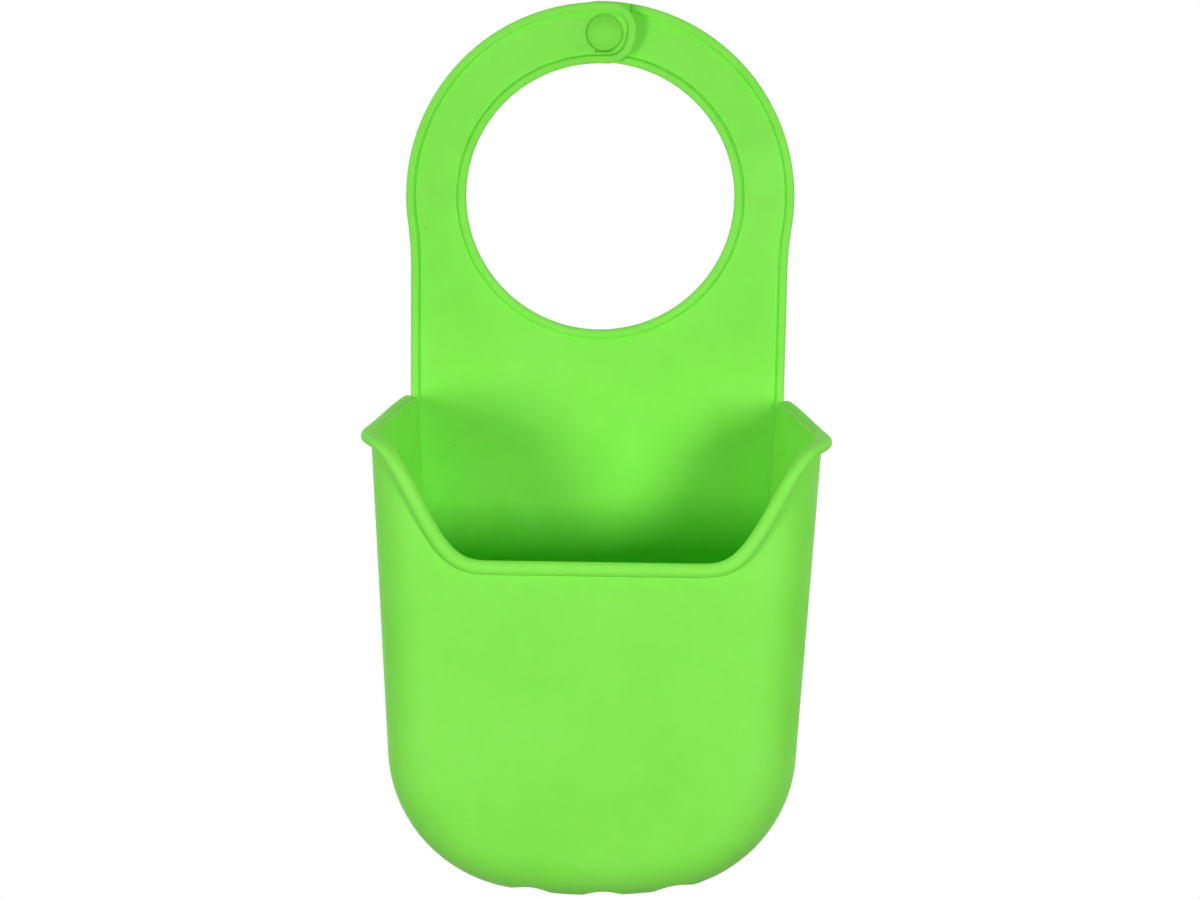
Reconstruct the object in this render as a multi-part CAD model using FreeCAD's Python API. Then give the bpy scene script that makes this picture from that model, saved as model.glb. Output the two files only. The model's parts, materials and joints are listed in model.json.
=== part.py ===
import FreeCAD, Part
import os
from math import acos, asin, cos, degrees, radians, sin, sqrt, tan
from FreeCAD import Vector

# A sponge holder moulded in soft silicone, hung on a tap by a loop that snaps shut.
# Millimetres, +Z up, the front faces -Y. The origin is the centre of the hanging loop,
# halfway through the sheet that the panel and the straps are made of.

# Sheet and the raised border along its edges
SHEET = 2.2
BORDER_WIDTH = 2.2
BORDER_HEIGHT = 1.0
BORDER_CHAMFER_SHARE = 0.5

# Hanging loop and its two straps
LOOP_BORE_RADIUS = 32.5
STRAP_WIDTH = 14.5
FLEX_ANGLE = 135.0
TIP_ANGLE = 78.5
TIP_ROUND_SHARE = 0.45
LAP_GAP = 0.3
LANDING_CLEARANCE = 0.6
BORE_TRIM = 0.25

# Snap stud and the eye that it is pressed through
STUD_ANGLE = 89.4
STUD_HEAD_RADIUS = 4.2
STUD_HEAD_EDGE = 1.0
STUD_DOME_HEIGHT = 1.1
STUD_DOME_STEPS = 2
STUD_NECK_RADIUS = 2.9
STUD_SEAT_CLEARANCE = 0.15
EYE_CLEARANCE = 0.25
EYE_GROOVE = 0.7
EYE_RECESS_DEPTH = 1.1

# Back panel
PANEL_INSET = 1.2
NECK_RADIUS = 80.0

# Pocket
WALL = 1.8
RIM_DROP = 50.4
LIP_DROP = 81.2
FLOOR_DROP = 157.8
POCKET_DEPTH = 46.0
POCKET_SPREAD = 10.5
SIDE_TAPER_ANGLE = 2.9
CORNER_RADIUS = 28.0
FLOOR_RADIUS = 110.0
FRONT_ROUND = 13.0

# Rolled rim round the pocket's mouth
RIM_RADIUS = 1.75
RIM_SIDES = 10
RIM_STANDOFF = 0.65
LIP_CORNER_HALF = 36.4
EAR_CUT_SHARE = 0.75
KNEE_DOWN_SHARE = 0.28
EAR_BEND = 12.0
KNEE_BEND = 16.0
LIP_BEND = 16.0
BEND_RUN_SHARE = 0.48

# Drain holes in the pocket's floor
DRAIN_RADIUS = 5.0
DRAIN_PITCH = 17.0
DRAIN_COUNT = 3
DRAIN_SETBACK = 22.0

# Every cut runs past the faces that it opens by this much
OVERRUN = 8.0

# Sizes that follow from the ones above
LOOP_RADIUS = LOOP_BORE_RADIUS + STRAP_WIDTH
LOOP_MID_RADIUS = LOOP_BORE_RADIUS + STRAP_WIDTH / 2
PANEL_HALF = LOOP_RADIUS - PANEL_INSET
SHEET_FRONT = -SHEET / 2
LAP_SHIFT = (SHEET + LAP_GAP) / 2 * LOOP_MID_RADIUS / LOOP_BORE_RADIUS
RIM_Z = -RIM_DROP
LIP_Z = -LIP_DROP
POCKET_FRONT = SHEET_FRONT - POCKET_DEPTH
EAR_HALF = PANEL_HALF + POCKET_SPREAD / cos(radians(SIDE_TAPER_ANGLE))

# Directions, and how squarely a face must look along one to count as facing it
ACROSS = Vector(1, 0, 0)
TOWARDS_BACK = Vector(0, 1, 0)
UPWARDS = Vector(0, 0, 1)
FACING_SHARE = 0.7
UPRIGHT_SHARE = 0.2


# Drawing helpers

def front_view(x, z):
    """A point of an outline that is drawn in the loop's plane."""
    return Vector(x, 0, z)


def on_circle(radius, angle):
    """A point round the loop, counted from three o'clock towards twelve."""
    return front_view(radius * cos(radians(angle)), radius * sin(radians(angle)))


def mirrored(point):
    return Vector(-point.x, point.y, point.z)


def mirror_in_x(shape):
    return shape.mirror(Vector(), ACROSS)


def line(start, end):
    return Part.LineSegment(start, end).toShape()


def arc(start, middle, end):
    return Part.Arc(start, middle, end).toShape()


def face_of(edges):
    return Part.Face(Part.Wire(edges))


def prism(face, front, back):
    """Extrudes a front-view face from one depth to another."""
    moved = face.copy()
    moved.translate(TOWARDS_BACK * front)
    return moved.extrude(TOWARDS_BACK * (back - front))


def grown(face, distance):
    return Part.Face(face.makeOffset2D(distance).Wires[0])


def ring_sector(inner, outer, start, end):
    """A front-view face between two radii and two angles round the loop."""
    middle = (start + end) / 2
    return face_of([
        arc(on_circle(outer, start), on_circle(outer, middle), on_circle(outer, end)),
        line(on_circle(outer, end), on_circle(inner, end)),
        arc(on_circle(inner, end), on_circle(inner, middle), on_circle(inner, start)),
        line(on_circle(inner, start), on_circle(outer, start)),
    ])


def face_lean(face, edge):
    """How far a face looks backwards at an edge: -1 is straight to the front."""
    middle = edge.valueAt((edge.FirstParameter + edge.LastParameter) / 2)
    u, v = face.Surface.parameter(middle)
    return face.normalAt(u, v).y


def eased_border(border):
    """Takes off every edge between a border's front and its upright walls."""
    edges = []
    for edge in border.Edges:
        leans = sorted(face_lean(face, edge) for face in border.ancestorsOfType(edge, Part.Face))
        if leans[0] < -FACING_SHARE and abs(leans[-1]) < UPRIGHT_SHARE:
            edges.append(edge)
    return border.makeChamfer(BORDER_CHAMFER_SHARE * min(BORDER_HEIGHT, BORDER_WIDTH / 2), edges)


# Straps. Both are drawn as the left one, and the rear strap is mirrored when it is done.

def strap_outline(bore):
    """A strap in front view, from below its root to its rounded end."""
    root_angle = 180.0 + FLEX_ANGLE / 2
    blank = prism(ring_sector(bore, LOOP_RADIUS, TIP_ANGLE, root_angle), 0, SHEET)
    corners = []
    for edge in blank.Edges:
        along = abs(edge.tangentAt(edge.FirstParameter).y)
        if along > FACING_SHARE and edge.CenterOfMass.z > 0:
            corners.append(edge)
    blank = blank.makeFillet(TIP_ROUND_SHARE * STRAP_WIDTH, corners)
    foot = min(blank.Faces, key=lambda face: face.CenterOfMass.y)
    return Part.Face(foot.OuterWire)


def whole_strap(bore, bare):
    """A flat strap with a border along its edges, apart from where it stays bare."""
    outline = strap_outline(bore)
    sheet = prism(outline, SHEET_FRONT, -SHEET_FRONT)
    band = outline.cut(grown(outline, -BORDER_WIDTH))
    if bare:
        band = band.cut(bare)
    border = prism(band, SHEET_FRONT - BORDER_HEIGHT, SHEET_FRONT)
    borders = [eased_border(solid) for solid in border.Solids]
    return sheet.multiFuse(borders).removeSplitter()


def lap_angle():
    """How far a tip turns out of the loop's plane so that the tips clear each other at the bore."""
    return degrees(asin(LAP_SHIFT / (LOOP_MID_RADIUS * sin(radians(FLEX_ANGLE - STUD_ANGLE)))))


def strap_halves(bare, turn):
    """A strap's standing half, and its tip, which turns out of the loop's plane at the bend.

    The tip is drawn with a slightly smaller bore and bored out square to the loop when turned.
    """
    outer = 2 * LOOP_RADIUS
    standing_side = ring_sector(LOOP_BORE_RADIUS / 2, outer, FLEX_ANGLE, 180.0)
    tip_side = ring_sector(LOOP_BORE_RADIUS, outer, TIP_ANGLE / 2, FLEX_ANGLE)
    standing = whole_strap(LOOP_BORE_RADIUS, bare)
    tip = whole_strap(LOOP_BORE_RADIUS - BORE_TRIM, bare)
    tip.rotate(Vector(), on_circle(LOOP_RADIUS, FLEX_ANGLE), turn)
    standing = standing.common(prism(standing_side, -OVERRUN, OVERRUN))
    return standing, tip.common(prism(tip_side, -OVERRUN, OVERRUN))


def on_stud_axis(radius, front, back):
    """A round pin along the stud's axis, from one depth to another."""
    place = on_circle(LOOP_MID_RADIUS, STUD_ANGLE) + TOWARDS_BACK * front
    return Part.makeCylinder(radius, back - front, place, TOWARDS_BACK)


def front_strap():
    """The left strap, which laps in front, with a recessed eye for the stud."""
    standing, tip = strap_halves(None, -lap_angle())
    front = SHEET_FRONT - LAP_SHIFT
    eye = on_stud_axis(STUD_NECK_RADIUS + EYE_CLEARANCE, front - OVERRUN, OVERRUN)
    recess = on_stud_axis(STUD_HEAD_RADIUS + EYE_GROOVE, front - OVERRUN, front + EYE_RECESS_DEPTH)
    return standing, tip.cut(eye).cut(recess)


def rear_strap():
    """The right strap, which laps behind. Its border stops at a bare landing for the front tip."""
    landing = mirror_in_x(grown(strap_outline(LOOP_BORE_RADIUS), LANDING_CLEARANCE))
    return [mirror_in_x(half) for half in strap_halves(landing, lap_angle())]


def snap_stud(rear_tip):
    """A mushroom stud that stands on the sloping rear tip and fills the front tip's eye."""
    foot = LAP_SHIFT
    seat = SHEET_FRONT - LAP_SHIFT + EYE_RECESS_DEPTH - STUD_SEAT_CLEARANCE
    edge = seat - STUD_HEAD_EDGE
    crown = edge - STUD_DOME_HEIGHT
    dome_radius = (STUD_HEAD_RADIUS ** 2 + STUD_DOME_HEIGHT ** 2) / (2 * STUD_DOME_HEIGHT)
    half = [
        Vector(0, foot, 0),
        Vector(STUD_NECK_RADIUS, foot, 0),
        Vector(STUD_NECK_RADIUS, seat, 0),
        Vector(STUD_HEAD_RADIUS, seat, 0),
    ]
    for step in range(STUD_DOME_STEPS + 1):
        radius = STUD_HEAD_RADIUS * (1 - step / STUD_DOME_STEPS)
        half.append(Vector(radius, crown + dome_radius - sqrt(dome_radius ** 2 - radius ** 2), 0))
    stud = Part.Face(Part.makePolygon(half + half[:1])).revolve(Vector(), TOWARDS_BACK, 360)
    stud.translate(on_circle(LOOP_MID_RADIUS, STUD_ANGLE))
    return stud.cut(rear_tip)


# Back panel

def panel_side(inset):
    """The panel's right edge from the loop down to the rim, moved in by an inset."""
    neck_x = PANEL_HALF + NECK_RADIUS
    neck_z = -sqrt((LOOP_RADIUS + NECK_RADIUS) ** 2 - neck_x ** 2)
    neck = front_view(neck_x, neck_z)
    radius = LOOP_RADIUS - inset
    neck_radius = NECK_RADIUS + inset
    start = front_view(radius, 0)
    shoulder = neck * (radius / neck.Length)
    waist = front_view(PANEL_HALF - inset, neck_z)
    towards_shoulder = ((start + shoulder) / 2).normalize()
    towards_neck = ((shoulder + waist) / 2 - neck).normalize()
    return [
        arc(start, towards_shoulder * radius, shoulder),
        arc(shoulder, neck + towards_neck * neck_radius, waist),
        line(waist, front_view(PANEL_HALF - inset, RIM_Z)),
    ]


def pocket_side(growth):
    """Corners of half a pocket outline that is offset outwards by a growth, from the rim down."""
    taper = radians(SIDE_TAPER_ANGLE)
    down = front_view(-sin(taper), -cos(taper))
    inward = front_view(-cos(taper), sin(taper))
    corner = CORNER_RADIUS + growth
    floor_radius = FLOOR_RADIUS + growth
    floor = front_view(0, -FLOOR_DROP - growth)
    top = front_view(PANEL_HALF + growth / cos(taper), RIM_Z)
    floor_centre = floor + UPWARDS * floor_radius
    offset = top + inward * corner - floor_centre
    slope = offset.dot(down)
    run = -slope + sqrt(slope ** 2 - offset.dot(offset) + (floor_radius - corner) ** 2)
    side_end = top + down * run
    centre = side_end + inward * corner
    towards_floor = (centre - floor_centre).normalize()
    corner_end = floor_centre + towards_floor * floor_radius
    towards_middle = (towards_floor - inward).normalize()
    return top, side_end, centre + towards_middle * corner, corner_end, floor


def pocket_edges(growth):
    """A pocket outline below the rim, from its right top corner round to its left one."""
    top, side_end, corner_middle, corner_end, floor = pocket_side(growth)
    right = [line(top, side_end), arc(side_end, corner_middle, corner_end)]
    left = [mirror_in_x(edge) for edge in right[::-1]]
    return right + [arc(corner_end, floor, mirrored(corner_end))] + left


def back_panel():
    right = panel_side(0)
    left = [mirror_in_x(edge) for edge in right]
    bore = LOOP_BORE_RADIUS
    loop_top = [
        line(on_circle(LOOP_RADIUS, 180.0), on_circle(bore, 180.0)),
        arc(on_circle(bore, 180.0), on_circle(bore, 270.0), on_circle(bore, 360.0)),
        line(on_circle(bore, 360.0), on_circle(LOOP_RADIUS, 360.0)),
    ]
    outline = face_of(right + pocket_edges(0) + left[::-1] + loop_top)
    panel = prism(outline, SHEET_FRONT, -SHEET_FRONT)
    inner = panel_side(BORDER_WIDTH)
    top = line(inner[0].Vertexes[0].Point, right[0].Vertexes[0].Point)
    foot = line(right[-1].Vertexes[-1].Point, inner[-1].Vertexes[-1].Point)
    side_band = face_of([top] + right + [foot] + inner[::-1])
    bore_band = ring_sector(bore, bore + BORDER_WIDTH, 180.0, 360.0)
    bands = [side_band, mirror_in_x(side_band), bore_band]
    borders = [eased_border(prism(band, SHEET_FRONT - BORDER_HEIGHT, SHEET_FRONT)) for band in bands]
    return panel.multiFuse(borders).removeSplitter()


# Pocket

def pocket_body(inset):
    """The pocket as a solid lump, moved in by an inset on the sides, floor and front.

    A ruled loft gives its flat sides as splines, so they are made again as true planes.
    """
    wires = []
    for growth, depth in ((-inset, SHEET_FRONT), (POCKET_SPREAD - inset, POCKET_FRONT + inset)):
        edges = pocket_edges(growth)
        top = edges[0].Vertexes[0].Point
        wire = Part.Wire([line(mirrored(top), top)] + edges)
        wire.translate(TOWARDS_BACK * depth)
        wires.append(wire)
    faces = []
    for face in Part.makeLoft(wires, True, True).Faces:
        if isinstance(face.Surface, Part.BSplineSurface):
            corners = [vertex.Point for vertex in face.OuterWire.OrderedVertexes]
            face = Part.Face(Part.makePolygon(corners + corners[:1]))
        faces.append(face)
    skin = Part.makeShell(faces)
    skin.sewShape()
    body = Part.makeSolid(skin)
    front = min(body.Faces, key=lambda face: face.CenterOfMass.y)
    edges = [edge for edge in front.Edges if edge.CenterOfMass.z < RIM_Z - WALL]
    return body.makeFillet(FRONT_ROUND - inset, edges)


def bent_wire(points, bends):
    """Straight runs joined by tangent arcs, each kept within its share of the runs beside it."""
    edges = []
    start = points[0]
    for before, corner, after, bend in zip(points, points[1:], points[2:], bends):
        back = before - corner
        ahead = after - corner
        room = BEND_RUN_SHARE * min(back.Length, ahead.Length)
        back.normalize()
        ahead.normalize()
        half_angle = acos(back.dot(ahead)) / 2
        reach = min(bend / tan(half_angle), room)
        towards_centre = (back + ahead).normalize()
        to_arc = reach / cos(half_angle) - reach * tan(half_angle)
        arc_start = corner + back * reach
        arc_end = corner + ahead * reach
        edges.append(line(start, arc_start))
        edges.append(arc(arc_start, corner + towards_centre * to_arc, arc_end))
        start = arc_end
    edges.append(line(start, points[-1]))
    return Part.Wire(edges)


def rim_corners():
    """Corners of the rim's right half: its root, its ear, its knee and the end of its lip.

    Ear and knee stand where the rounded front edge is cut off, so that the rim follows it.
    """
    front = POCKET_FRONT - RIM_STANDOFF
    edge = Vector(EAR_HALF + RIM_STANDOFF, front, RIM_Z)
    root = Vector(PANEL_HALF + RIM_STANDOFF, SHEET_FRONT, RIM_Z)
    cut = EAR_CUT_SHARE * FRONT_ROUND
    ear = edge + (root - edge).normalize() * cut
    knee = edge + Vector(-cut, 0, KNEE_DOWN_SHARE * (LIP_Z - RIM_Z))
    return root, ear, knee, Vector(LIP_CORNER_HALF, front, LIP_Z)


def there_and_back(points):
    return points + [mirrored(point) for point in points[::-1]]


def rim_path():
    """The rim's centre line: level along the sides, then dipping across the front."""
    root, ear, knee, lip = rim_corners()
    start = root + (root - ear) * (SHEET / POCKET_DEPTH)
    bends = [EAR_BEND, KNEE_BEND, LIP_BEND]
    return bent_wire(there_and_back([start, ear, knee, lip]), bends + bends[::-1])


def rim_bead():
    """The rim as a many-sided bar along its path."""
    path = rim_path()
    first = path.Edges[0]
    start = path.Vertexes[0].Point
    aside = first.tangentAt(first.FirstParameter).cross(UPWARDS)
    half_side = radians(180.0 / RIM_SIDES)
    radius = RIM_RADIUS / cos(half_side)
    corners = []
    for index in range(RIM_SIDES + 1):
        turn = half_side * (2 * index + 1)
        corners.append(start + (aside * cos(turn) + UPWARDS * sin(turn)) * radius)
    return path.makePipeShell([Part.makePolygon(corners)], True, False)


def mouth():
    """What the dipped rim takes out of the front wall and its rounded corners."""
    root, ear, knee, lip = rim_corners()
    ear.y = knee.y
    corners = [corner + UPWARDS * RIM_RADIUS for corner in (ear, knee, lip)]
    bends = [KNEE_BEND, LIP_BEND]
    dip = bent_wire(there_and_back(corners), bends + bends[::-1])
    above = corners[0] + UPWARDS * OVERRUN
    top = Part.makePolygon([mirrored(corners[0]), mirrored(above), above, corners[0]])
    face = face_of(dip.Edges + top.Edges)
    face.translate(TOWARDS_BACK * -OVERRUN)
    return face.extrude(TOWARDS_BACK * (OVERRUN + FRONT_ROUND + WALL))


def drain_holes():
    first = -DRAIN_PITCH * (DRAIN_COUNT - 1) / 2
    lowest = -FLOOR_DROP - POCKET_SPREAD
    holes = []
    for index in range(DRAIN_COUNT):
        place = Vector(first + index * DRAIN_PITCH, POCKET_FRONT + DRAIN_SETBACK, lowest)
        holes.append(Part.makeCylinder(DRAIN_RADIUS, POCKET_SPREAD + OVERRUN, place))
    return holes


def pocket_shell():
    """Side walls, front and floor, open at the back, where the panel closes it."""
    shell = pocket_body(0).cut(pocket_body(WALL)).cut(mouth())
    for hole in drain_holes():
        shell = shell.cut(hole)
    return shell


def pocket_rim(panel):
    """The rolled rim, which stands out from the wall all round and ends on the panel's front."""
    reach = EAR_HALF + OVERRUN
    corner = Vector(-reach, SHEET_FRONT, RIM_Z - OVERRUN)
    behind = Part.makeBox(2 * reach, SHEET + OVERRUN, 2 * OVERRUN, corner)
    return rim_bead().cut(behind).cut(panel).cut(pocket_body(0))


def build():
    panel = back_panel()
    front, front_tip = front_strap()
    rear, rear_tip = rear_strap()
    nodes = {
        "back_panel": panel,
        "front_strap": front,
        "front_strap_tip": front_tip,
        "rear_strap": rear,
        "rear_strap_tip": rear_tip,
        "snap_stud": snap_stud(rear_tip),
        "pocket_shell": pocket_shell(),
        "pocket_rim": pocket_rim(panel),
    }
    os.makedirs("parts", exist_ok=True)
    for name, shape in nodes.items():
        shape.exportStep(os.path.join("parts", name + ".step"))
        print(name, "solids", len(shape.Solids), "volume", round(shape.Volume), "valid", shape.isValid())


build()
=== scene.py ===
import json
from math import acos, asin, atan2, cos, degrees, hypot, radians, sin, sqrt, tan

import bmesh
import bpy
from mathutils import Matrix, Vector


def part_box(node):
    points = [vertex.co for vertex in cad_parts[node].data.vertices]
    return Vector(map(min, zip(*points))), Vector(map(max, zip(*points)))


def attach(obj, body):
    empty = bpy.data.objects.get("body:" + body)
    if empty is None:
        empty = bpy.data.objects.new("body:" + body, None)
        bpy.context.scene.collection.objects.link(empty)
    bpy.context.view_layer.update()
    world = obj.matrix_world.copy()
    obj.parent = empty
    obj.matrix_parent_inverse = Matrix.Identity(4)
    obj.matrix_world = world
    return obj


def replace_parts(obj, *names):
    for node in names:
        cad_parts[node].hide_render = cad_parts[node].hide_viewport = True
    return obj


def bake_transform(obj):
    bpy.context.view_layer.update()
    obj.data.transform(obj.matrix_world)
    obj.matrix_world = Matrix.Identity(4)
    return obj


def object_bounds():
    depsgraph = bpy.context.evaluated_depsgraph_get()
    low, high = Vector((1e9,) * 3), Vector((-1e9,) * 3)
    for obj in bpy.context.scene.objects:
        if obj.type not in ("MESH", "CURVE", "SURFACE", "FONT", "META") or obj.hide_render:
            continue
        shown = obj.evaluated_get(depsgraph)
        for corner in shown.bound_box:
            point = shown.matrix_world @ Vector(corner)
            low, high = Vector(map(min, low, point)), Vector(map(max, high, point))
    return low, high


# A sponge holder moulded in soft silicone, hung on a tap by a loop that snaps shut.
# Lengths are in millimetres and become metres where a mesh, lamp or camera is made.
# Outlines are drawn in the loop's plane as (x, z), with y as the depth: -y is the front.

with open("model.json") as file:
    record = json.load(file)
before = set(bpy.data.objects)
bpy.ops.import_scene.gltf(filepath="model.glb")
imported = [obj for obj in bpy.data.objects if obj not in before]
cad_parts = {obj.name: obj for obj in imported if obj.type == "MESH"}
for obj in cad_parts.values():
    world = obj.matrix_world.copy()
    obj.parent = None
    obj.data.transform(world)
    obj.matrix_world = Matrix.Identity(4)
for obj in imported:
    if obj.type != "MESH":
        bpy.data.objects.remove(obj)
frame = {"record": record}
cad_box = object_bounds()
MM = 0.001


def node_box(name):
    """A solid's lowest and highest corner in millimetres."""
    low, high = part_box(name)
    return low / MM, high / MM


PANEL_LOW, PANEL_HIGH = node_box("back_panel")
SHELL_LOW, SHELL_HIGH = node_box("pocket_shell")
STUD_LOW, STUD_HIGH = node_box("snap_stud")

# Sheet and the raised border along its edges
SHEET = 2 * PANEL_HIGH.y
SHEET_FRONT = -SHEET / 2
EDGE_ROUND = 0.5
BEAD_WIDTH = 1.95
BEAD_HEIGHT = SHEET_FRONT - PANEL_LOW.y
BEAD_FULLNESS_SHARE = 0.36
GROOVE_WIDTH = 0.6
GROOVE_DEPTH = 0.24
FLAT_EDGE = 0.25
BEAD_END_RUN = 1.2

# Hanging loop and its straps
LOOP_BORE = frame["record"]["mounts"][0]["dims"]["r_mm"]
LOOP_OUTER = PANEL_HIGH.x
LOOP_MID = (LOOP_BORE + LOOP_OUTER) / 2
STRAP_WIDTH = LOOP_OUTER - LOOP_BORE
ROOT_ANGLE = 180.0
SEAM_ANGLE = 157.5
FLEX_ANGLE = 135.0
TIP_ANGLE = 78.5
TIP_ROUND_SHARE = 0.45
TIP_ROUND = TIP_ROUND_SHARE * STRAP_WIDTH
LANDING_ANGLE = 98.2
LANDING_FADE_ANGLE = 1.2
LAP_GAP = 0.3
FLEX_EASE = 9.0

# Snap stud, its eye and the recess round it
STUD_X = (STUD_LOW.x + STUD_HIGH.x) / 2
STUD_Z = (STUD_LOW.z + STUD_HIGH.z) / 2
STUD_RADIUS = (STUD_HIGH.x - STUD_LOW.x) / 2
STUD_CROWN = STUD_LOW.y
STUD_FOOT = STUD_HIGH.y
STUD_EDGE = 1.0
STUD_EDGE_ROUND = 0.35
STUD_DOME = 1.5
STUD_NECK = 2.9
RECESS_GAP = 0.05
RECESS_SLOPE = 0.6
RECESS_RADIUS = STUD_RADIUS + RECESS_GAP + RECESS_SLOPE
RECESS_DEPTH = 1.1
EYE_CLEARANCE = 0.25
EYE_RADIUS = STUD_NECK + EYE_CLEARANCE

# Back panel
PANEL_HALF = 45.8
NECK_RADIUS = 80.0

# Pocket
WALL = 1.8
ROOT_DEPTH = 0.5
ROOT_INSET = 0.1
RIM_Z = SHELL_HIGH.z
EAR_DROP = 2.1
EAR_Z = RIM_Z - EAR_DROP
LIP_Z = -80.8
BAND_Z = -96.0
FLOOR_Z = PANEL_LOW.z
POCKET_FRONT = SHELL_LOW.y
POCKET_SPREAD = 10.5
SIDE_TAPER_ANGLE = 2.9
CORNER_RADIUS = 28.0
FLOOR_RADIUS = 110.0
FRONT_ROUND = 13.0
LIP_HALF = 22.0
DIP_POWER = 1.4
ROOT_RISE = 1.8
ROOT_RUN = 34.0

# Rolled rim
RIM_RADIUS = 1.7
RIM_STANDOFF = 0.7
FLANGE_RADIUS = 1.2
FLANGE_STANDOFF = 0.6
FLANGE_FLAT = 1.2
FLANGE_FADE = 9.0
RIM_TOP_RISE = 1.0
RIM_END_RUN = 1.5
RIM_END_SHARE = 0.05

# Drain slots
DRAIN_RADIUS = 5.2
DRAIN_PITCH = 17.0
DRAIN_COUNT = 3
DRAIN_SHIFT = 3.0
DRAIN_FRONT = 9.8
DRAIN_BACK = 22.0

# How finely the meshes are divided
ARC_STEP = 0.6
BEAD_STEPS = 16
ROUND_STEPS = 4
CIRCLE_STEPS = 48
SIDE_STEPS = 26
CORNER_STEPS = 24
FLOOR_STEPS = 14
WALL_STEPS = 12
FILLET_STEPS = 22
FRONT_STEPS = 16
BAND_STEPS = 16
RIM_STEPS = 20
TOP_TURNS = 4
WELD_DISTANCE = 0.001
SLIVER_LENGTH = 0.0005
SHARP_ANGLE = 42.0

# Silicone, with patterns in repeats to the metre, tones as display colours, depths in metres
CLOUD_SCALE = 38.0
CLOUD_DETAIL = 4.0
CLOUD_ROUGHNESS = 0.55
CLOUD_TONES = ((0.3, (134, 239, 78)), (0.5, (139, 243, 83)), (0.7, (144, 246, 90)))
SPECK_SCALE = 62.0
SPECK_TONE = (104, 196, 62)
SPECK_SHARES = (0.012, 0.03)
SPECK_KEPT_SHARES = (0.62, 0.66)
SWELL_SCALE = 90.0
SWELL_DETAIL = 1.0
SWELL_STRENGTH = 0.06
SWELL_DEPTH = 0.001
GRAIN_SCALE = 1900.0
GRAIN_DETAIL = 2.0
GRAIN_STRENGTH = 0.12
GRAIN_DEPTH = 0.0001
MATT_LEVELS = ((0.35, 0.5), (0.65, 0.6))
SPECULAR_LEVEL = 0.2
GLOW_SHARE = 0.3
GLOW_RADIUS_SHARES = (0.3, 1.0, 0.1)
GLOW_DEPTH = 0.004

# Studio, in metres and watts
FLOOR_SIZE = 0.8
FLOOR_BELOW = 2.2
FLOOR_CLOUD_SCALE = 3.0
FLOOR_TONES = ((0.3, (202, 202, 202)), (0.7, (208, 208, 208)))
FLOOR_ROUGHNESS = 0.9
FLOOR_WHITE_SHARE = 0.6
WORLD_AHEAD = 0.02
WORLD_BEHIND = 0.9
WORLD_OVERHEAD_SHARE = 0.5
WORLD_BELOW_SHARE = 0.8
WORLD_RAMP_SHARES = (-0.1, 0.4)
SOFTBOX_SIZE = 0.16
SOFTBOX_AWAY = 0.6
RIGHT_AZIMUTH = 26.5
RIGHT_ELEVATION = 0.8
RIGHT_POWER = 1.97
LEFT_AZIMUTH = -38.0
LEFT_ELEVATION = -2.0
LEFT_POWER = 1.57

# Camera, in millimetres and degrees
CAMERA_ELEVATION = 12.0
CAMERA_ROLL = 0.85
CAMERA_AWAY = 700.0
CAMERA_TARGET = (0.85, -10.0, -60.5)
CAMERA_SENSOR = 36.0
CAMERA_LENS = 86.25


# Small helpers

def smooth(share):
    share = min(max(share, 0.0), 1.0)
    return share * share * (3 - 2 * share)


def steep(share):
    """Like smooth, but flatter at both ends and steeper between them."""
    share = min(max(share, 0.0), 1.0)
    return share ** 3 * (10 - 15 * share + 6 * share ** 2)


def between(start, end, share):
    return start + (end - start) * share


def shares(count):
    return [index / count for index in range(count + 1)]


def on_circle(radius, angle):
    return radius * cos(radians(angle)), radius * sin(radians(angle))


# Outlines: lists of (x, z, nx, nz), where the normal points into the material

def arc_run(centre, radius, start, end, into_centre):
    """Part of a circle, from one angle to another, with the material on its inner or outer side."""
    side = -1 if into_centre else 1
    count = max(2, round(abs(radians(end - start)) * radius / ARC_STEP))
    run = []
    for share in shares(count):
        nx, nz = on_circle(1, between(start, end, share))
        run.append((centre[0] + radius * nx, centre[1] + radius * nz, side * nx, side * nz))
    return run


def line_run(start, end, normal):
    count = max(2, round(hypot(end[0] - start[0], end[1] - start[1]) / ARC_STEP))
    return [
        (between(start[0], end[0], share), between(start[1], end[1], share)) + normal
        for share in shares(count)
    ]


def joined(runs):
    """One outline from runs that start where the one before ends."""
    outline = list(runs[0])
    for run in runs[1:]:
        outline += run[1:]
    return outline


def mirrored(outline):
    return [(-x, z, -nx, nz) for x, z, nx, nz in outline]


def edge_profile(bead):
    """A sheet's edge in section, as (inset, y) from its back over the bead to the flat."""
    profile = []
    for share in shares(ROUND_STEPS):
        x, y = on_circle(EDGE_ROUND, 90.0 + 90.0 * share)
        profile.append((EDGE_ROUND + x, -SHEET_FRONT - EDGE_ROUND + y))
    for share in shares(BEAD_STEPS):
        x, y = on_circle(1, 180.0 * share)
        height = BEAD_HEIGHT * bead * y ** BEAD_FULLNESS_SHARE if y > 0 else 0
        profile.append((BEAD_WIDTH / 2 * (1 - x), SHEET_FRONT - height))
    foot = BEAD_WIDTH + GROOVE_WIDTH
    middle = BEAD_WIDTH + GROOVE_WIDTH / 2
    profile.append((middle, SHEET_FRONT + GROOVE_DEPTH * bead))
    profile.append((foot, SHEET_FRONT))
    profile.append((foot + FLAT_EDGE, SHEET_FRONT))
    return profile


# Meshes are put together in a bmesh, in millimetres

def add_ring(bm, points):
    return [bm.verts.new(point) for point in points]


def add_strip(bm, first, second, closed=False):
    """Faces between two rings of as many points."""
    count = len(first)
    for index in range(count if closed else count - 1):
        after = (index + 1) % count
        bm.faces.new((first[index], first[after], second[after], second[index]))


def add_strips(bm, rings, closed=False):
    for first, second in zip(rings, rings[1:]):
        add_strip(bm, first, second, closed)


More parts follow.
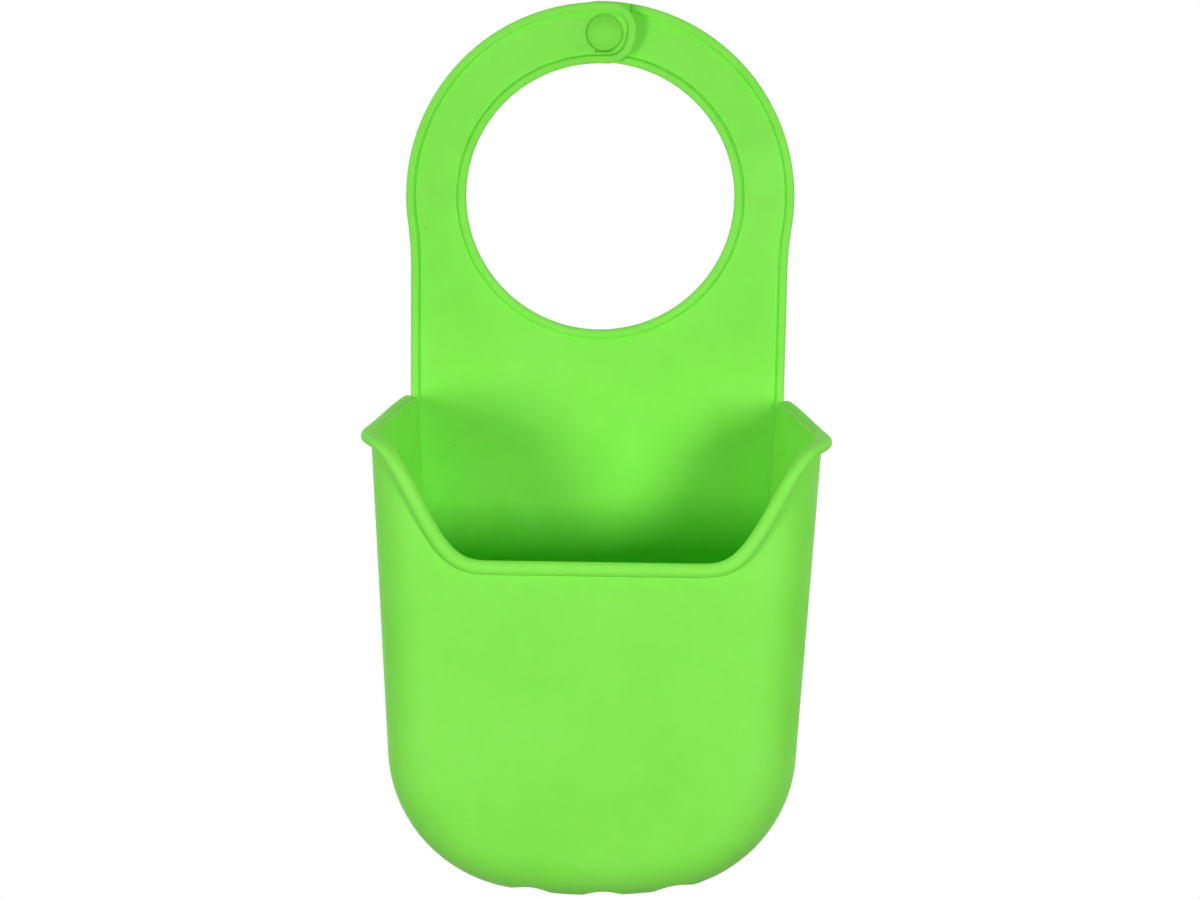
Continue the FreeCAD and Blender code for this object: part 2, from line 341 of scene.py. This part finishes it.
def add_edge_strip(bm, outline, beads):
    """Sweeps the sheet's edge along an outline, with a share of the bead's height at each point."""
    rings = []
    for (x, z, nx, nz), bead in zip(outline, beads):
        rings.append(add_ring(bm, [(x + nx * d, y, z + nz * d) for d, y in edge_profile(bead)]))
    add_strips(bm, rings)
    return rings


def fill_flat(bm, loops):
    """Closes the flat area inside closed loops of points."""
    edges = []
    for loop in loops:
        for start, end in zip(loop, loop[1:] + loop[:1]):
            edge = bm.edges.get((start, end)) or bm.edges.new((start, end))
            edges.append(edge)
    bmesh.ops.triangle_fill(bm, edges=edges, use_beauty=True)


def linked(bm, name):
    """Turns a bmesh into an object of the scene."""
    mesh = bpy.data.meshes.new(name)
    bm.to_mesh(mesh)
    bm.free()
    made = bpy.data.objects.new(name, mesh)
    bpy.context.scene.collection.objects.link(made)
    return made


def finished(bm, name, material):
    """Turns a bmesh into a piece of the part, in metres, smooth up to the sharp angle."""
    bmesh.ops.remove_doubles(bm, verts=bm.verts, dist=WELD_DISTANCE)
    bmesh.ops.dissolve_degenerate(bm, edges=bm.edges, dist=SLIVER_LENGTH)
    bmesh.ops.recalc_face_normals(bm, faces=bm.faces)
    bmesh.ops.scale(bm, vec=(MM, MM, MM), verts=bm.verts)
    for face in bm.faces:
        face.smooth = True
    for edge in bm.edges:
        edge.smooth = not edge.is_manifold or edge.calc_face_angle() < radians(SHARP_ANGLE)
    piece = linked(bm, name)
    piece.data.materials.append(material)
    return piece


# Material

def feed(tree, socket, value):
    """Links a socket to another one, or sets it to a plain value."""
    if isinstance(value, bpy.types.NodeSocket):
        tree.links.new(value, socket)
    else:
        socket.default_value = value


def add_node(tree, kind, **inputs):
    """A shader node with its inputs set by name, with spaces written as underscores."""
    made = tree.nodes.new(kind)
    for name, value in inputs.items():
        feed(tree, made.inputs[name.replace("_", " ")], value)
    return made


def add_math(tree, operation, *values):
    """The result of a maths node on numbers or sockets."""
    made = tree.nodes.new("ShaderNodeMath")
    made.operation = operation
    for socket, value in zip(made.inputs, values):
        feed(tree, socket, value)
    return made.outputs["Value"]


def mixed(tree, factor, first, second):
    """Two shaders mixed by a factor."""
    made = tree.nodes.new("ShaderNodeMixShader")
    for socket, value in zip(made.inputs, (factor, first, second)):
        tree.links.new(value, socket)
    return made.outputs["Shader"]


def grey(level):
    return level, level, level, 1.0


def linear(red, green, blue):
    """A display colour of 0 to 255 as scene light."""
    shares_of_light = []
    for value in (red, green, blue):
        value /= 255
        low = value <= 0.04045
        shares_of_light.append(value / 12.92 if low else ((value + 0.055) / 1.055) ** 2.4)
    return (*shares_of_light, 1.0)


def ramp(tree, factor, stops):
    made = tree.nodes.new("ShaderNodeValToRGB")
    tree.links.new(factor, made.inputs["Fac"])
    elements = made.color_ramp.elements
    for index, (position, colour) in enumerate(stops):
        element = elements[index] if index < len(elements) else elements.new(position)
        element.position = position
        element.color = colour
    return made.outputs["Color"]


def tones(stops):
    """A ramp's stops from display colours."""
    return [(position, linear(*tone)) for position, tone in stops]


def silicone():
    """Matt lime silicone: cloudy colour, fine moulded grain and a few dark specks."""
    material = bpy.data.materials.new("silicone")
    material.use_nodes = True
    tree = material.node_tree
    shader = tree.nodes["Principled BSDF"]
    place = tree.nodes.new("ShaderNodeTexCoord").outputs["Object"]
    cloud = add_node(
        tree, "ShaderNodeTexNoise", Vector=place,
        Scale=CLOUD_SCALE, Detail=CLOUD_DETAIL, Roughness=CLOUD_ROUGHNESS,
    )
    colour = ramp(tree, cloud.outputs["Fac"], tones(CLOUD_TONES))
    cells = add_node(tree, "ShaderNodeTexVoronoi", Vector=place, Scale=SPECK_SCALE)
    speck = ramp(tree, cells.outputs["Distance"], zip(SPECK_SHARES, (grey(1), grey(0))))
    kept = ramp(tree, cells.outputs["Color"], zip(SPECK_KEPT_SHARES, (grey(0), grey(1))))
    dust = add_math(tree, "MULTIPLY", speck, kept)
    mix = add_node(tree, "ShaderNodeMixRGB", Fac=dust, Color1=colour, Color2=linear(*SPECK_TONE))
    tree.links.new(mix.outputs["Color"], shader.inputs["Base Color"])
    swell = add_node(
        tree, "ShaderNodeTexNoise", Vector=place, Scale=SWELL_SCALE, Detail=SWELL_DETAIL,
    ).outputs["Fac"]
    grain = add_node(
        tree, "ShaderNodeTexNoise", Vector=place, Scale=GRAIN_SCALE, Detail=GRAIN_DETAIL,
    ).outputs["Fac"]
    matt = ramp(tree, swell, [(position, grey(level)) for position, level in MATT_LEVELS])
    tree.links.new(matt, shader.inputs["Roughness"])
    waves = add_node(
        tree, "ShaderNodeBump", Strength=SWELL_STRENGTH, Distance=SWELL_DEPTH, Height=swell,
    ).outputs["Normal"]
    bump = add_node(
        tree, "ShaderNodeBump", Strength=GRAIN_STRENGTH, Distance=GRAIN_DEPTH, Height=grain,
        Normal=waves,
    )
    tree.links.new(bump.outputs["Normal"], shader.inputs["Normal"])
    shader.inputs["Specular IOR Level"].default_value = SPECULAR_LEVEL
    shader.inputs["Subsurface Weight"].default_value = GLOW_SHARE
    shader.inputs["Subsurface Radius"].default_value = GLOW_RADIUS_SHARES
    shader.inputs["Subsurface Scale"].default_value = GLOW_DEPTH
    return material


# Back panel

def panel_side():
    """The panel's right edge from the loop's middle down to the rim."""
    neck_x = PANEL_HALF + NECK_RADIUS
    neck_z = -sqrt((LOOP_OUTER + NECK_RADIUS) ** 2 - neck_x ** 2)
    shoulder = degrees(atan2(neck_z, neck_x))
    return joined([
        arc_run((0, 0), LOOP_OUTER, 0.0, shoulder, True),
        arc_run((neck_x, neck_z), NECK_RADIUS, 180.0 + shoulder, 180.0, False),
        line_run((PANEL_HALF, neck_z), (PANEL_HALF, RIM_Z), (-1.0, 0.0)),
    ])


def pocket_side(growth, top_z):
    """Right half of a pocket outline, grown outwards, from a height to the floor's middle."""
    taper = radians(SIDE_TAPER_ANGLE)
    down = Vector((-sin(taper), -cos(taper)))
    inward = Vector((-cos(taper), sin(taper)))
    corner = CORNER_RADIUS + growth
    floor_radius = FLOOR_RADIUS + growth
    top = Vector((PANEL_HALF + growth / cos(taper) - (RIM_Z - top_z) * tan(taper), top_z))
    floor_centre = Vector((0, FLOOR_Z - growth + floor_radius))
    offset = top + inward * corner - floor_centre
    slope = offset.dot(down)
    run = -slope + sqrt(slope ** 2 - offset.length_squared + (floor_radius - corner) ** 2)
    side_end = top + down * run
    centre = side_end + inward * corner
    towards_floor = centre - floor_centre
    floor_angle = degrees(atan2(towards_floor.y, towards_floor.x))
    points = []
    for share in shares(SIDE_STEPS):
        point = top.lerp(side_end, share)
        points.append((point.x, point.y, inward.x, inward.y))
    for share in shares(CORNER_STEPS)[1:]:
        nx, nz = on_circle(1, between(-SIDE_TAPER_ANGLE, floor_angle, share))
        points.append((centre.x + corner * nx, centre.y + corner * nz, -nx, -nz))
    for share in shares(FLOOR_STEPS)[1:]:
        nx, nz = on_circle(1, between(floor_angle, -90.0, share))
        points.append((floor_radius * nx, floor_centre.y + floor_radius * nz, -nx, -nz))
    return points


def whole_outline(half):
    return half + mirrored(half[:-1])[::-1]


def make_panel(material):
    """The flat back with the loop's lower half. Its bead stops where the pocket's rim starts."""
    bm = bmesh.new()
    lower = pocket_side(0, EAR_Z)
    step = line_run((PANEL_HALF, RIM_Z), lower[0][:2], (-1.0, 0.0))
    outline = whole_outline(joined([panel_side(), step, lower]))
    beads = [smooth((z - EAR_Z) / BEAD_END_RUN) for x, z, nx, nz in outline]
    outer = add_edge_strip(bm, outline, beads)
    bore = arc_run((0, 0), LOOP_BORE, 180.0, 360.0, False)
    inner = add_edge_strip(bm, bore, [1.0] * len(bore))
    for layer in (0, -1):
        fill_flat(bm, [[ring[layer] for ring in outer + inner]])
    return finished(bm, "panel_skin", material)


# Straps. Both are drawn as the left one, and the rear strap is mirrored.

def place_strap(bm, rear):
    """Bends a strap's tip out of the loop's plane to lap the other one, and mirrors the rear strap."""
    shift = (SHEET + LAP_GAP) / 2 / (LOOP_BORE * sin(radians(FLEX_ANGLE - 90.0)))
    ahead_x, ahead_z = on_circle(1, FLEX_ANGLE - 90.0)
    for vertex in bm.verts:
        run = vertex.co.x * ahead_x + vertex.co.z * ahead_z
        eased = max(run, 0.0)
        if abs(run) < FLEX_EASE:
            eased = (run + FLEX_EASE) ** 2 / (4 * FLEX_EASE)
        vertex.co.y += shift * eased * (1 if rear else -1)
        if rear:
            vertex.co.x = -vertex.co.x


def make_strap_root(name, material, rear):
    """A strap's first stretch, up to the seam below its bend."""
    bm = bmesh.new()
    count = round(radians(ROOT_ANGLE - SEAM_ANGLE) * LOOP_MID / ARC_STEP)
    rings = []
    for share in shares(count):
        nx, nz = on_circle(1, between(ROOT_ANGLE, SEAM_ANGLE, share))
        outer = [((LOOP_OUTER - d) * nx, y, (LOOP_OUTER - d) * nz) for d, y in edge_profile(1.0)]
        inner = [((LOOP_BORE + d) * nx, y, (LOOP_BORE + d) * nz) for d, y in edge_profile(1.0)]
        rings.append(add_ring(bm, outer + inner[::-1]))
    add_strips(bm, rings, closed=True)
    place_strap(bm, rear)
    return finished(bm, name, material)


def tip_outline():
    """A tip's edge: out along the loop, round its end and back along the bore."""
    outer_radius = LOOP_OUTER - TIP_ROUND
    inner_radius = LOOP_BORE + TIP_ROUND
    outer_angle = TIP_ANGLE + degrees(asin(TIP_ROUND / outer_radius))
    inner_angle = TIP_ANGLE + degrees(asin(TIP_ROUND / inner_radius))
    end_angle = TIP_ANGLE - 90.0
    nx, nz = on_circle(1, end_angle)
    outer_centre = on_circle(outer_radius, outer_angle)
    inner_centre = on_circle(inner_radius, inner_angle)
    end = [(x + TIP_ROUND * nx, z + TIP_ROUND * nz) for x, z in (outer_centre, inner_centre)]
    return joined([
        arc_run((0, 0), LOOP_OUTER, SEAM_ANGLE, outer_angle, True),
        arc_run(outer_centre, TIP_ROUND, outer_angle, end_angle, True),
        line_run(end[0], end[1], (-nx, -nz)),
        arc_run(inner_centre, TIP_ROUND, end_angle, inner_angle - 180.0, True),
        arc_run((0, 0), LOOP_BORE, inner_angle, SEAM_ANGLE, False),
    ])


def circle_ring(bm, radius, y):
    points = []
    for share in shares(CIRCLE_STEPS)[:-1]:
        x, z = on_circle(radius, 360.0 * share)
        points.append((STUD_X + x, y, STUD_Z + z))
    return add_ring(bm, points)


def add_eye(bm):
    """The stepped eye that the stud is pressed through, from its front edge to its back edge."""
    floor = SHEET_FRONT + RECESS_DEPTH
    rings = [
        circle_ring(bm, RECESS_RADIUS, SHEET_FRONT),
        circle_ring(bm, RECESS_RADIUS - RECESS_SLOPE / 2, SHEET_FRONT + RECESS_SLOPE / 3),
        circle_ring(bm, RECESS_RADIUS - RECESS_SLOPE, SHEET_FRONT + RECESS_SLOPE),
        circle_ring(bm, RECESS_RADIUS - RECESS_SLOPE, floor),
        circle_ring(bm, EYE_RADIUS, floor),
        circle_ring(bm, EYE_RADIUS, -SHEET_FRONT),
    ]
    add_strips(bm, rings, closed=True)
    return rings


def make_strap_tip(name, material, rear):
    """A strap's bending tip. The front one has the eye, the rear one a bare landing behind it."""
    bm = bmesh.new()
    outline = tip_outline()
    beads = []
    for x, z, nx, nz in outline:
        angle = degrees(atan2(z, x))
        ahead = min(max(1 - (angle - LANDING_ANGLE) / LANDING_FADE_ANGLE, 0.0), 1.0)
        beads.append(sqrt(1 - ahead ** 2) if rear else 1.0)
    rings = add_edge_strip(bm, outline, beads)
    eye = [] if rear else add_eye(bm)
    fill_flat(bm, [[ring[-1] for ring in rings]] + eye[:1])
    fill_flat(bm, [[ring[0] for ring in rings]] + eye[-1:])
    place_strap(bm, rear)
    return finished(bm, name, material)


def make_stud(material):
    """The mushroom stud: a neck, a rounded edge and a low dome."""
    edge = STUD_CROWN + STUD_DOME
    seat = edge + STUD_EDGE - STUD_EDGE_ROUND
    profile = [(STUD_NECK, STUD_FOOT), (STUD_NECK, seat), (STUD_RADIUS - STUD_EDGE_ROUND, seat)]
    for share in shares(ROUND_STEPS):
        x, y = on_circle(STUD_EDGE_ROUND, 90.0 * (1 - share))
        profile.append((STUD_RADIUS - STUD_EDGE_ROUND + x, seat - STUD_EDGE_ROUND + y))
    for share in shares(BEAD_STEPS)[:-1]:
        profile.append((STUD_RADIUS * (1 - share), edge - STUD_DOME * (1 - (1 - share) ** 2)))
    bm = bmesh.new()
    rings = [circle_ring(bm, radius, y) for radius, y in profile]
    add_strips(bm, rings, closed=True)
    crown = bm.verts.new((STUD_X, STUD_CROWN, STUD_Z))
    for start, end in zip(rings[-1], rings[-1][1:] + rings[-1][:1]):
        bm.faces.new((start, end, crown))
    return finished(bm, "stud_skin", material)


# Pocket. Its wall is a fan of sections below a level line and a band of columns above it.

def wall_section(back, front, inset):
    """From the panel along the wall and round onto the front, in a section across the outline."""
    y_back = SHEET_FRONT
    y_front = POCKET_FRONT + inset
    radius = FRONT_ROUND - inset
    spread = hypot(front[0] - back[0], front[1] - back[1])
    across_x = (front[0] - back[0]) / spread
    across_z = (front[1] - back[1]) / spread
    depth = y_back - y_front
    lean = atan2(spread, depth)
    reach = radius / tan(acos(spread / hypot(spread, depth)) / 2)
    centre = (spread - reach, y_front + radius)
    start = (centre[0] + radius * cos(lean), centre[1] + radius * sin(lean))
    points = [(-ROOT_INSET, y_back + ROOT_DEPTH)]
    points += [(start[0] * share, between(y_back, start[1], share)) for share in shares(WALL_STEPS)]
    for share in shares(FILLET_STEPS)[1:]:
        x, y = on_circle(radius, between(degrees(lean), -90.0, share))
        points.append((centre[0] + x, centre[1] + y))
    return [(back[0] + across_x * m, y, back[1] + across_z * m) for m, y in points]


def wall_sections(inset):
    """All sections of the lower pocket, each with its run across the front up to the level line."""
    backs = whole_outline(pocket_side(-inset, BAND_Z))
    fronts = whole_outline(pocket_side(POCKET_SPREAD - inset, BAND_Z))
    sections = [wall_section(back, front, inset) for back, front in zip(backs, fronts)]
    half = sections[0][-1][0]
    grown = []
    for section, share in zip(sections, shares(len(sections) - 1)):
        end = Vector((half * (1 - 2 * share), section[-1][1], BAND_Z))
        start = Vector(section[-1])
        run = [tuple(start.lerp(end, step)) for step in shares(FRONT_STEPS)[1:]]
        grown.append(section + run)
    return grown


def level_line(sections):
    """Points round the pocket at the level line, from the panel's right side to its left side."""
    corner = 1 + WALL_STEPS + FILLET_STEPS
    right = sections[0][:corner + 1]
    left = sections[-1][:corner + 1]
    front = [section[-1] for section in sections[1:-1]]
    return right + front + left[::-1]


def side_top(base):
    """Where a column of the side walls ends. Their edge rises a little into the panel."""
    side = 1 if base[0] > 0 else -1
    top = EAR_Z + ROOT_RISE * smooth(1 - (SHEET_FRONT - base[1]) / ROOT_RUN)
    return base[0] + side * (top - BAND_Z) * tan(radians(SIDE_TAPER_ANGLE)), top


def front_top(base, weight, ear):
    """Where a column of the front ends, between the ear and the dipped lip."""
    side = 1 if base[0] > 0 else -1
    top = EAR_Z
    for turn in range(TOP_TURNS):
        x = abs(base[0]) + (top - BAND_Z) * tan(radians(SIDE_TAPER_ANGLE)) * weight
        share = min(max((x - LIP_HALF) / (ear - LIP_HALF), 0.0), 1.0)
        top = between(LIP_Z, EAR_Z, steep(share ** DIP_POWER))
    return side * x, top


def band_tops(line):
    """The wall's upper edge over each point of the level line."""
    rise = (EAR_Z - BAND_Z) * tan(radians(SIDE_TAPER_ANGLE))
    ear = max(abs(x) for x, y, z in line) + rise
    widest = max(range(len(line) // 2), key=lambda index: line[index][0])
    corner = 1 + WALL_STEPS + FILLET_STEPS
    half = line[corner][0]
    tops = []
    for index, base in enumerate(line):
        from_end = min(index, len(line) - 1 - index)
        weight = 1.0 if from_end <= corner else abs(base[0]) / half
        tops.append(side_top(base) if from_end <= widest else front_top(base, weight, ear))
    return tops


def add_wall(bm, inset, tops):
    """One side of the pocket's wall. Returns its edge along the panel and its edge along the mouth."""
    sections = wall_sections(inset)
    rings = [add_ring(bm, section) for section in sections]
    add_strips(bm, rings)
    line = level_line(sections)
    own = band_tops(line)
    rows = []
    for share in shares(BAND_STEPS):
        row = []
        for base, (top_x, own_z), top in zip(line, own, tops):
            z = top[1] + RIM_TOP_RISE
            reach = (z - BAND_Z) / (own_z - BAND_Z)
            x = between(base[0], top_x, reach * share)
            row.append((x, base[1], between(BAND_Z, z, share)))
        rows.append(add_ring(bm, row))
    add_strips(bm, rows)
    right = [row[0] for row in rows[::-1]]
    left = [row[-1] for row in rows]
    return right + [ring[0] for ring in rings] + left, rows[-1]


def make_pocket(material):
    """The pocket's walls, front and floor as one closed skin with drain slots."""
    bm = bmesh.new()
    tops = band_tops(level_line(wall_sections(0)))
    outer_panel, outer_mouth = add_wall(bm, 0, tops)
    inner_panel, inner_mouth = add_wall(bm, WALL, tops)
    add_strip(bm, outer_panel, inner_panel)
    add_strip(bm, outer_mouth, inner_mouth)
    piece = finished(bm, "pocket_skin", material)
    cut_drains(piece)
    return piece


def cut_drains(piece):
    """Cuts the row of drain slots, which run from the floor into the rounded front edge."""
    bm = bmesh.new()
    middle_share = (DRAIN_COUNT - 1) / 2
    for index in range(DRAIN_COUNT):
        outline = []
        for share in shares(CIRCLE_STEPS)[:-1]:
            x, y = on_circle(DRAIN_RADIUS, 360.0 * share)
            setback = DRAIN_BACK if y > 0 else DRAIN_FRONT
            middle = DRAIN_SHIFT + (index - middle_share) * DRAIN_PITCH
            outline.append((middle + x, POCKET_FRONT + setback + y))
        levels = (FLOOR_Z - CORNER_RADIUS, FLOOR_Z + CORNER_RADIUS / 2)
        low, high = [add_ring(bm, [(x, y, z) for x, y in outline]) for z in levels]
        add_strip(bm, low, high, closed=True)
        bm.faces.new(low)
        bm.faces.new(high)
    bmesh.ops.recalc_face_normals(bm, faces=bm.faces)
    bmesh.ops.scale(bm, vec=(MM, MM, MM), verts=bm.verts)
    cutters = linked(bm, "drain_cutters")
    cut = piece.modifiers.new("drains", "BOOLEAN")
    cut.operation = "DIFFERENCE"
    cut.solver = "EXACT"
    cut.object = cutters
    bpy.context.view_layer.update()
    evaluated = piece.evaluated_get(bpy.context.evaluated_depsgraph_get())
    bored = bpy.data.meshes.new_from_object(evaluated)
    piece.modifiers.clear()
    piece.data = bored
    bpy.data.objects.remove(cutters)


def rim_section(radius, flat):
    """A round section, stretched across by the length of its flat."""
    section = []
    for share in shares(RIM_STEPS)[:-1]:
        a, b = on_circle(radius, 360.0 * share)
        section.append((a + flat / 2 if a > 0 else a - flat / 2, b))
    return section


def make_rim(material):
    """The rim round the pocket's mouth: a flange along the sides and a rolled bead across the front."""
    line = level_line(wall_sections(0))
    path = [Vector((x, base[1], z)) for base, (x, z) in zip(line, band_tops(line))]
    count = len(path)
    bm = bmesh.new()
    rings = []
    for index, point in enumerate(path):
        along = (path[min(index + 1, count - 1)] - path[max(index - 1, 0)]).normalized()
        outward = Vector((0, 0, 1)).cross(along).normalized()
        up = along.cross(outward).normalized()
        roll = smooth((EAR_Z - point.z) / FLANGE_FADE)
        centre = point + outward * between(FLANGE_STANDOFF, RIM_STANDOFF, roll)
        section = rim_section(between(FLANGE_RADIUS, RIM_RADIUS, roll), FLANGE_FLAT * (1 - roll))
        rings.append((centre, along, [outward * a + up * b for a, b in section]))
    first, last = rings[0], rings[-1]
    for share in shares(ROUND_STEPS)[1:]:
        size = max(sqrt(1 - share ** 2), RIM_END_SHARE)
        run = RIM_END_RUN * share
        before = [point * size for point in first[2]]
        after = [point * size for point in last[2]]
        rings.insert(0, (first[0] - first[1] * run, first[1], before))
        rings.append((last[0] + last[1] * run, last[1], after))
    tube = [add_ring(bm, [centre + point for point in section]) for centre, along, section in rings]
    add_strips(bm, tube, closed=True)
    bm.faces.new(tube[0])
    bm.faces.new(tube[-1])
    return finished(bm, "rim_skin", material)


# Stage

def background_ray(tree):
    """1 for rays that show the background: the camera's own and those off gloss or through glass."""
    path = tree.nodes.new("ShaderNodeLightPath")
    seen = path.outputs["Is Camera Ray"]
    for name in ("Is Glossy Ray", "Is Transmission Ray"):
        seen = add_math(tree, "MAXIMUM", seen, path.outputs[name])
    return seen


def pale_floor():
    """Pale, and white towards its edge to the camera, with the part's shadow left in it."""
    material = bpy.data.materials.new("pale_floor")
    material.use_nodes = True
    tree = material.node_tree
    shader = tree.nodes["Principled BSDF"]
    place = tree.nodes.new("ShaderNodeTexCoord").outputs["Object"]
    cloud = add_node(tree, "ShaderNodeTexNoise", Vector=place, Scale=FLOOR_CLOUD_SCALE)
    tone = ramp(tree, cloud.outputs["Fac"], tones(FLOOR_TONES))
    tree.links.new(tone, shader.inputs["Base Color"])
    shader.inputs["Roughness"].default_value = FLOOR_ROUGHNESS
    reach = tree.nodes.new("ShaderNodeVectorMath")
    reach.operation = "LENGTH"
    tree.links.new(place, reach.inputs[0])
    edge = add_node(
        tree, "ShaderNodeMapRange", Value=reach.outputs["Value"],
        From_Min=FLOOR_SIZE / 4, From_Max=FLOOR_SIZE, To_Min=FLOOR_WHITE_SHARE,
    )
    seen = add_math(tree, "MULTIPLY", edge.outputs["Result"], background_ray(tree))
    white = add_node(tree, "ShaderNodeEmission", Color=grey(1), Strength=1.0)
    mix = mixed(tree, seen, shader.outputs["BSDF"], white.outputs["Emission"])
    tree.links.new(mix, tree.nodes["Material Output"].inputs["Surface"])
    return material


def make_floor():
    """A round floor well below the hanging part, where the photograph's view doesn't reach it."""
    bm = bmesh.new()
    bmesh.ops.create_circle(bm, cap_ends=True, segments=CIRCLE_STEPS, radius=FLOOR_SIZE)
    floor = linked(bm, "floor")
    floor.data.materials.append(pale_floor())
    floor.location.z = cad_box[0].z - FLOOR_BELOW


def make_world():
    """White to the camera and in reflections. It lights the part softly, from behind and above."""
    world = bpy.data.worlds.new("studio")
    bpy.context.scene.world = world
    world.use_nodes = True
    tree = world.node_tree
    tree.nodes.clear()
    seen = background_ray(tree)
    direction = tree.nodes.new("ShaderNodeTexCoord").outputs["Generated"]
    split = add_node(tree, "ShaderNodeSeparateXYZ", Vector=direction)
    height = split.outputs["Z"]
    behind = add_math(tree, "MULTIPLY_ADD", height, WORLD_OVERHEAD_SHARE, split.outputs["Y"])
    below = add_math(tree, "MINIMUM", height, 0.0)
    level = add_node(
        tree, "ShaderNodeMapRange",
        Value=add_math(tree, "MULTIPLY_ADD", below, WORLD_BELOW_SHARE, behind),
        From_Min=WORLD_RAMP_SHARES[0], From_Max=WORLD_RAMP_SHARES[1],
        To_Min=WORLD_AHEAD, To_Max=WORLD_BEHIND,
    )
    white = add_node(tree, "ShaderNodeBackground", Color=grey(1), Strength=1.0)
    soft = add_node(tree, "ShaderNodeBackground", Color=grey(1), Strength=level.outputs["Result"])
    mix = mixed(tree, seen, soft.outputs["Background"], white.outputs["Background"])
    output = tree.nodes.new("ShaderNodeOutputWorld")
    tree.links.new(mix, output.inputs["Surface"])


def make_softbox(name, azimuth, elevation, power):
    """A square softbox to one side of the camera, aimed at the pocket's mouth."""
    target = Vector((0, POCKET_FRONT / 2, RIM_Z)) * MM
    a, e = radians(azimuth), radians(elevation)
    away = Vector((sin(a) * cos(e), -cos(a) * cos(e), sin(e)))
    light = bpy.data.lights.new(name, "AREA")
    light.size = SOFTBOX_SIZE
    light.energy = power
    lamp = bpy.data.objects.new(name, light)
    lamp.location = target + away * SOFTBOX_AWAY
    lamp.rotation_mode = "QUATERNION"
    lamp.rotation_quaternion = (-away).to_track_quat("-Z", "Y")
    bpy.context.scene.collection.objects.link(lamp)


def make_camera():
    """The photograph's view: level azimuth, a little above, and rolled by a hair."""
    elevation = radians(CAMERA_ELEVATION)
    away = Vector((0, -cos(elevation), sin(elevation)))
    data = bpy.data.cameras.new("camera")
    data.sensor_width = CAMERA_SENSOR
    data.lens = CAMERA_LENS
    camera = bpy.data.objects.new("camera", data)
    camera.location = (Vector(CAMERA_TARGET) + away * CAMERA_AWAY) * MM
    camera.rotation_mode = "QUATERNION"
    turn = Matrix.Rotation(radians(CAMERA_ROLL), 4, "Z").to_quaternion()
    camera.rotation_quaternion = (-away).to_track_quat("-Z", "Y") @ turn
    bpy.context.scene.collection.objects.link(camera)
    bpy.context.scene.camera = camera


def bend_strap(root, tip):
    """Bakes a strap's root and tip pieces into place, in world space."""
    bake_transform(root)
    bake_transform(tip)


def build():
    bpy.context.scene.view_settings.view_transform = "Standard"
    green = silicone()
    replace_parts(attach(make_panel(green), "holder"), "back_panel")
    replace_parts(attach(make_pocket(green), "holder"), "pocket_shell")
    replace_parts(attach(make_rim(green), "holder"), "pocket_rim")
    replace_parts(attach(make_stud(green), "rear_tip"), "snap_stud")
    for name, rear in (("front", False), ("rear", True)):
        root = make_strap_root(name + "_strap_skin", green, rear)
        tip = make_strap_tip(name + "_tip_skin", green, rear)
        bend_strap(root, tip)
        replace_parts(root, name + "_strap")
        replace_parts(tip, name + "_strap_tip")
    make_floor()
    make_world()
    make_softbox("right_softbox", RIGHT_AZIMUTH, RIGHT_ELEVATION, RIGHT_POWER)
    make_softbox("left_softbox", LEFT_AZIMUTH, LEFT_ELEVATION, LEFT_POWER)
    make_camera()


build()
